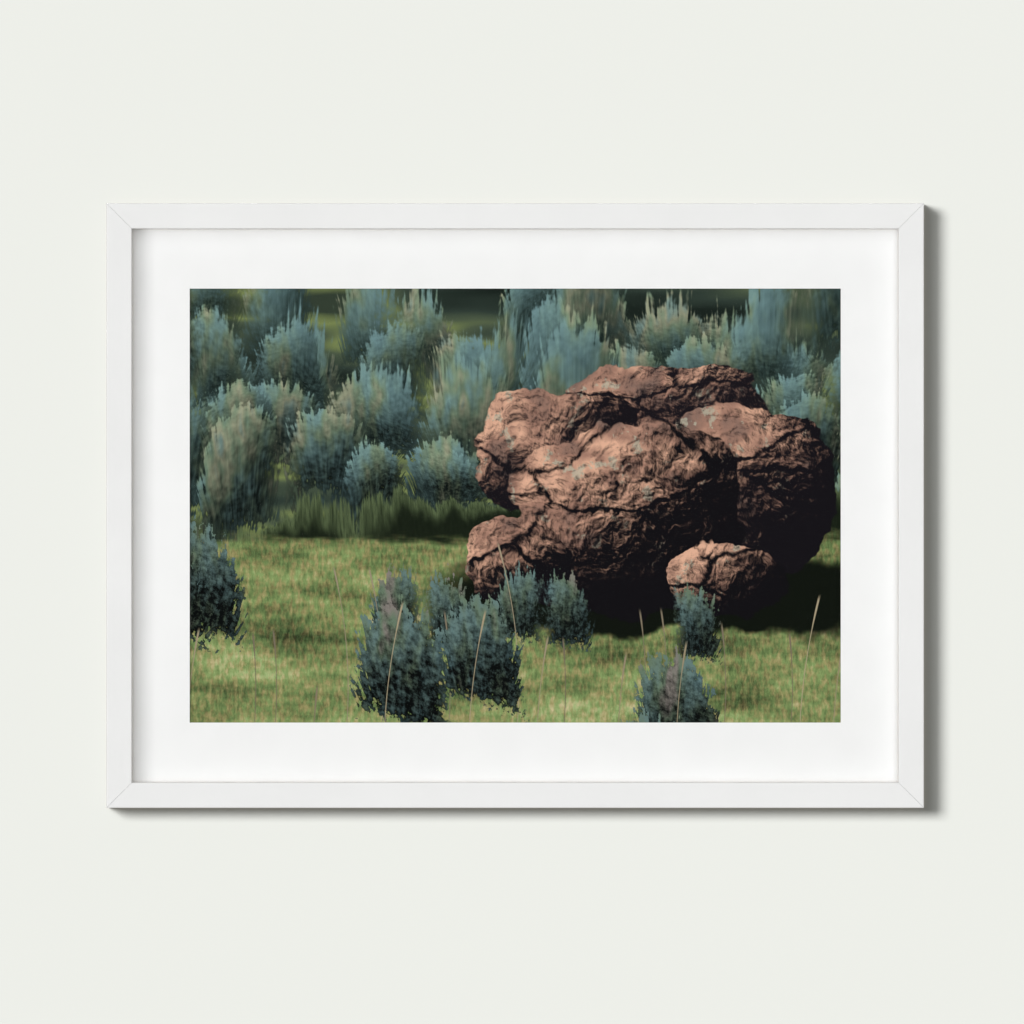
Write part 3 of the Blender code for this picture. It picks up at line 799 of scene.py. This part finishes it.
class FRAMED_PRINT_OT_print(bpy.types.Operator):
    """Printed sheet behind the mat's window"""

    bl_idname = "framed_print.print"
    bl_label = "Print"

    def execute(self, context):
        sizes = context.scene.framed_print_sizes
        low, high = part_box("print_sheet")
        bm = bmesh.new()
        bmesh.ops.create_cube(bm, size=1)
        for vert in bm.verts:
            vert.co = (low + high) / 2 + Vector([a * b for a, b in zip(vert.co, high - low)])
        # The front fills the flat layout, and the other five sides are thin strips above it.
        flat = bm.loops.layers.uv.new("OFBake")
        bm.normal_update()
        margin, front_size = 0.002, (0.996, 0.975)
        strip, strip_step, strip_size = 0.985, 0.0025, 0.002
        for face in bm.faces:
            front = face.normal.y < -0.5
            face.material_index = int(not front)
            strip += 0 if front else strip_step
            # The two axes that lie in the face: 0 is the width, 1 the depth and 2 the height
            if abs(face.normal.y) > 0.5:
                u, v = 0, 2
            elif abs(face.normal.x) > 0.5:
                u, v = 2, 1
            else:
                u, v = 0, 1
            for loop in face.loops:
                share = [(c - a) / (b - a) for a, b, c in zip(low, high, loop.vert.co)]
                foot, height = (margin, front_size[1]) if front else (strip, strip_size)
                loop[flat].uv = (margin + front_size[0] * share[u], foot + height * share[v])
        finishes = inkjet_photo_paper(sizes), foam_centred_board()
        finish_piece("print_sheet_inked", bm, finishes, "printed_paper", "print_sheet")
        return {"FINISHED"}


class FRAMED_PRINT_OT_boards(bpy.types.Operator):
    """Acrylic sheet, mounting board and hardboard back, which keep their CAD shapes"""

    bl_idname = "framed_print.boards"
    bl_label = "Glazing and Boards"

    def execute(self, context):
        colours = context.scene.framed_print_colours
        refinish("glazing", clear_acrylic())
        refinish("mounting_board", foam_centred_board())
        refinish("backing_board", pressed_hardboard(colours))
        return {"FINISHED"}


def point_mesh(low, high, inward):
    """A steel point: its nose tapers into the wood, and its tip is round and pierced."""
    centre, size = (low + high) / 2, high - low
    long, wide, thick = max(size.x, size.z), min(size.x, size.z), size.y
    hole_radius, shoulder, worn = 0.0013, 0.4 * wide, 0.2 * thick
    tip = long / 2 - wide / 2
    bm = bmesh.new()
    start = bm.verts.new((tip, 0, -wide / 2))
    bmesh.ops.spin(bm, geom=[start], cent=(tip, 0, 0), axis=(0, -1, 0), angle=math.pi, steps=14)
    bmesh.ops.remove_doubles(bm, verts=bm.verts, dist=0.000001)
    ends = sorted((v for v in bm.verts if len(v.link_edges) == 1), key=lambda v: v.co.z)
    shoulders = [bm.verts.new((-long / 2 + shoulder, 0, v.co.z)) for v in ends]
    nose = bm.verts.new((-long / 2, 0, 0))
    for a, b in zip(ends, shoulders):
        bm.edges.new((a, b))
        bm.edges.new((b, nose))
    hole = bmesh.ops.create_circle(bm, segments=16, radius=hole_radius)["verts"]
    bmesh.ops.rotate(bm, matrix=Matrix.Rotation(math.pi / 2, 3, "X"), verts=hole)
    bmesh.ops.translate(bm, vec=(tip, 0, 0), verts=hole)
    bmesh.ops.triangle_fill(bm, edges=bm.edges[:], use_beauty=True, normal=(0, -1, 0))
    bmesh.ops.translate(bm, vec=(0, -thick / 2, 0), verts=bm.verts)
    extrude(bm, (0, thick, 0))
    bm.normal_update()
    round_edges(bm, thin_rims(bm, thick), worn, segments=1)
    turn = Matrix.Rotation(math.atan2(-inward[1], inward[0]), 4, "Y")
    bmesh.ops.transform(bm, matrix=Matrix.Translation(centre) @ turn, verts=bm.verts)
    return bm


class FRAMED_PRINT_OT_points(bpy.types.Operator):
    """Steel points pressed into the rebate, which hold the boards"""

    bl_idname = "framed_print.points"
    bl_label = "Steel Points"

    def execute(self, context):
        zinc = zinc_plate()
        inward = {"top": (0, -1), "bottom": (0, 1), "left": (1, 0), "right": (-1, 0)}
        for node in nodes_named("point_"):
            bm = point_mesh(*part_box(node), inward[node.split("_")[1]])
            finish_piece(node + "_pressed", bm, (zinc,), "zinc_steel", node, sharp=30)
        for node in nodes_named("wedge_"):
            refinish(node, zinc)
        return {"FINISHED"}


def hanger_mesh(low, high):
    """A sawtooth hanger: a toothed bridge that stands off the wood between two round feet."""
    teeth, toothed, bend, deep, thick, worn = 11, 0.026, 0.002, 0.0013, 0.0008, 0.00012
    size, centre = high - low, (low + high) / 2
    rise, foot = size.y - thick, size.x / 2 - size.z / 2
    bm = bmesh.new()
    bmesh.ops.create_grid(bm, x_segments=2 * teeth, y_segments=1, size=0.5)
    for vert in bm.verts:
        step = round((vert.co.x + 0.5) * 2 * teeth)
        notch = deep if vert.co.y < 0 and step % 2 else 0
        vert.co = (vert.co.x * toothed, rise, vert.co.y * size.z + notch)
    edge = toothed / 2 - TOUCH
    for end in (-1, 1):
        for out in (toothed / 2 + bend, foot):
            sides = [e for e in bm.edges if all(v.co.x * end > edge for v in e.verts)]
            last = max(sides, key=lambda e: (e.verts[0].co.x + e.verts[1].co.x) * end)
            made = bmesh.ops.extrude_edge_only(bm, edges=[last])["geom"]
            for vert in (v for v in made if isinstance(v, bmesh.types.BMVert)):
                vert.co.x, vert.co.y = end * out, 0
        # The foot ends in a half circle.
        corner = max((v for v in bm.verts if v.co.x * end > foot - TOUCH), key=lambda v: v.co.z)
        around = {"cent": (end * foot, 0, 0), "axis": (0, end, 0), "angle": math.pi}
        bmesh.ops.spin(bm, geom=[corner], steps=12, **around)
        bmesh.ops.remove_doubles(bm, verts=bm.verts, dist=0.000001)
        loop = [e for e in bm.edges if all(v.co.x * end > foot - TOUCH for v in e.verts)]
        bmesh.ops.contextual_create(bm, geom=loop)
    bmesh.ops.recalc_face_normals(bm, faces=bm.faces)
    extrude(bm, (0, thick, 0))
    bm.normal_update()
    bmesh.ops.recalc_face_normals(bm, faces=bm.faces)
    round_edges(bm, thin_rims(bm, thick), worn, segments=2)
    bmesh.ops.translate(bm, vec=(centre.x, low.y, centre.z), verts=bm.verts)
    return bm


class FRAMED_PRINT_OT_hangers(bpy.types.Operator):
    """Sawtooth hangers on the back of the top rail, with their nails"""

    bl_idname = "framed_print.hangers"
    bl_label = "Sawtooth Hangers"

    def execute(self, context):
        brass = brass_plate()
        for node in ("hanger_left", "hanger_right"):
            bm = hanger_mesh(*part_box(node))
            finish_piece(node + "_toothed", bm, (brass,), "brass_steel", node, sharp=30)
        for node in nodes_named("hanger_nail"):
            refinish(node, brass)
        return {"FINISHED"}


class FRAMED_PRINT_OT_bumpers(bpy.types.Operator):
    """Round rubber bumpers at the back corners"""

    bl_idname = "framed_print.bumpers"
    bl_label = "Bumpers"

    def execute(self, context):
        rubber = bumper_rubber()
        for node in nodes_named("bumper_"):
            low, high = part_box(node)
            centre, radius, thick = (low + high) / 2, (high.x - low.x) / 2, high.y - low.y
            bm = bmesh.new()
            disc = bmesh.ops.create_circle(bm, cap_ends=True, segments=48, radius=radius)["verts"]
            bmesh.ops.rotate(bm, matrix=Matrix.Rotation(math.pi / 2, 3, "X"), verts=disc)
            extrude(bm, (0, thick, 0))
            rim = [e for e in bm.edges if all(v.co.y > thick / 2 for v in e.verts)]
            round_edges(bm, rim, radius=0.001, segments=4)
            bmesh.ops.translate(bm, vec=(centre.x, low.y, centre.z), verts=bm.verts)
            finish_piece(node + "_cast", bm, (rubber,), "rubber", node, sharp=40)
        return {"FINISHED"}


class FRAMED_PRINT_OT_stage(bpy.types.Operator):
    """Pale wall and floor, soft light and the camera"""

    bl_idname = "framed_print.stage"
    bl_label = "Wall, Light and Camera"

    def execute(self, context):
        sizes, colours = context.scene.framed_print_sizes, context.scene.framed_print_colours
        floor_z, top_z, wall_y = -sizes.hanging_height, 2.6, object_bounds()[1][1]
        wall_size, wall_centre = (8, top_z - floor_z), (0, wall_y, (top_z + floor_z) / 2)
        wall = self.plane("wall", wall_size, wall_centre, math.pi / 2, self.one_sided(colours))
        floor_paint = room_paint("floor_paint", colours.floor)
        floor = self.plane("floor", (60, 60), (0, 0, floor_z), 0, floor_paint)

        world = bpy.data.worlds.new("pale_studio")
        context.scene.world = world
        world.use_nodes = True
        tree = world.node_tree
        add = partial(add_node, tree)
        sky = tree.nodes["Background"]
        feed(tree, sky.inputs["Color"], "#EEEFE9")
        # It is bright where it is looked at or mirrored, and dim as a light: shadows stay deep.
        rays = add("LightPath").outputs
        seen = add("Math MULTIPLY_ADD", rays["Is Glossy Ray"], 0.6, rays["Is Camera Ray"])
        strength = add("MapRange", Value=seen, To_Min=0.26, To_Max=1)
        feed(tree, sky.inputs["Strength"], strength)

        # The wall has lights of its own. A row of narrow suns lights the picture as a long, low
        # strip light would, mostly from the left. The columns are the name, the direction towards
        # the light, its strength, its width in degrees, and what it lights: None is the picture.
        suns = [
            ("wall_key", (-0.59, -1, 0.25), 5.55, 19, wall),
            ("wall_key_inner", (-0.31, -1, 0.25), 1, 19, wall),
            ("wall_fill", (-0.1, -1, 0.1), 0.5, 140, wall),
            ("floor_wash", (0, 0, 1), 2.2, 20, floor),
            ("rim_right", (1, -0.08, 0), 0.5, 25, None),
            ("top", (0, -1, 0.5), 0.6, 40, None),
            ("rim_low", (0, -0.08, -1), 0.8, 25, None),
            ("rim_top", (0, -0.08, 1), 0.5, 25, None),
            ("rear_fill", (0, 1, 0.12), 2, 30, None),
        ]
        strip = {-48: 0.5, -38: 0.5, -28: 0.42, -18: 0.24, -9: 0.1, 0: 0.12, 8: 0.17, 15: 0.14}
        for bearing, energy in strip.items():
            along = math.radians(bearing)
            towards = (math.sin(along), -math.cos(along), 0)
            suns.append((f"strip_{bearing}", towards, energy, 9, None))
        for name, towards, energy, angle, only in suns:
            light = bpy.data.lights.new(name, "SUN")
            light.energy, light.angle = energy, math.radians(angle)
            lamp = bpy.data.objects.new(name, light)
            lamp.rotation_euler = Vector(towards).to_track_quat("Z", "Y").to_euler()
            # A sun works from anywhere. It stands 3 m off, where it is out of the way.
            lamp.location = Vector(towards) * 3
            context.scene.collection.objects.link(lamp)
            lit = bpy.data.collections.new(name + "_receivers")
            for obj in (only,) if only else (wall, floor):
                lit.objects.link(obj)
            for receiver in lit.collection_objects:
                receiver.light_linking.link_state = "INCLUDE" if only else "EXCLUDE"
            lamp.light_linking.receiver_collection = lit

        # A long lens far away shows hardly any perspective. It is aimed 3 mm left of the middle
        # and 6 mm below it.
        camera = bpy.data.cameras.new("camera")
        distance = 19.16
        camera.lens, camera.clip_end = 720, 100
        view = bpy.data.objects.new("camera", camera)
        view.location = (-0.003, FRONT - distance, -0.006)
        view.rotation_euler = (math.pi / 2, 0, 0)
        context.scene.collection.objects.link(view)
        context.scene.camera = view
        context.scene.view_settings.view_transform = "Standard"
        return {"FINISHED"}

    def plane(self, name, size, centre, tilt, material):
        """A plain surface of the room. Nothing mirrors it, and it throws no light or shadow."""
        bm = bmesh.new()
        bmesh.ops.create_grid(bm, x_segments=1, y_segments=1, size=0.5)
        bmesh.ops.scale(bm, vec=(*size, 1), verts=bm.verts)
        bmesh.ops.rotate(bm, matrix=Matrix.Rotation(tilt, 3, "X"), verts=bm.verts)
        bmesh.ops.translate(bm, vec=centre, verts=bm.verts)
        mesh = bpy.data.meshes.new(name)
        bm.to_mesh(mesh)
        bm.free()
        mesh.materials.append(material)
        obj = bpy.data.objects.new(name, mesh)
        bpy.context.scene.collection.objects.link(obj)
        for ray in ("diffuse", "glossy", "transmission", "shadow"):
            setattr(obj, "visible_" + ray, False)
        obj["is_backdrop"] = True
        return obj

    def one_sided(self, colours):
        """The wall's paint, seen from the room only, so that the picture's back shows."""
        material = room_paint("wall_paint", colours.wall)
        tree = material.node_tree
        add = partial(add_node, tree)
        behind = add("NewGeometry").outputs["Backfacing"]
        clear = add("BsdfTransparent")
        mix = add("MixShader", behind, tree.nodes["Principled BSDF"], clear)
        feed(tree, tree.nodes["Material Output"].inputs["Surface"], mix)
        return material


class FRAMED_PRINT_PT_sidebar(bpy.types.Panel):
    """Lists the sizes, the colours and the pieces"""

    bl_idname = "FRAMED_PRINT_PT_sidebar"
    bl_label = "Framed Print"
    bl_space_type = "VIEW_3D"
    bl_region_type = "UI"
    bl_category = "Framed Print"

    def draw(self, context):
        for group in (context.scene.framed_print_sizes, context.scene.framed_print_colours):
            for name in group.__annotations__:
                self.layout.prop(group, name)
        for operator in OPERATORS:
            self.layout.operator(operator.bl_idname)


OPERATORS = (
    FRAMED_PRINT_OT_stage,
    FRAMED_PRINT_OT_rails,
    FRAMED_PRINT_OT_mat,
    FRAMED_PRINT_OT_print,
    FRAMED_PRINT_OT_boards,
    FRAMED_PRINT_OT_points,
    FRAMED_PRINT_OT_hangers,
    FRAMED_PRINT_OT_bumpers,
)
CLASSES = (FramedPrintSizes, FramedPrintColours, *OPERATORS, FRAMED_PRINT_PT_sidebar)


def register():
    for cls in CLASSES:
        bpy.utils.register_class(cls)
    bpy.types.Scene.framed_print_sizes = bpy.props.PointerProperty(type=FramedPrintSizes)
    bpy.types.Scene.framed_print_colours = bpy.props.PointerProperty(type=FramedPrintColours)


def unregister():
    del bpy.types.Scene.framed_print_colours
    del bpy.types.Scene.framed_print_sizes
    for cls in reversed(CLASSES):
        bpy.utils.unregister_class(cls)


def main():
    register()
    for piece in ("stage", "rails", "mat", "print", "boards", "points", "hangers", "bumpers"):
        getattr(bpy.ops.framed_print, piece)()


if __name__ == "__main__":
    main()
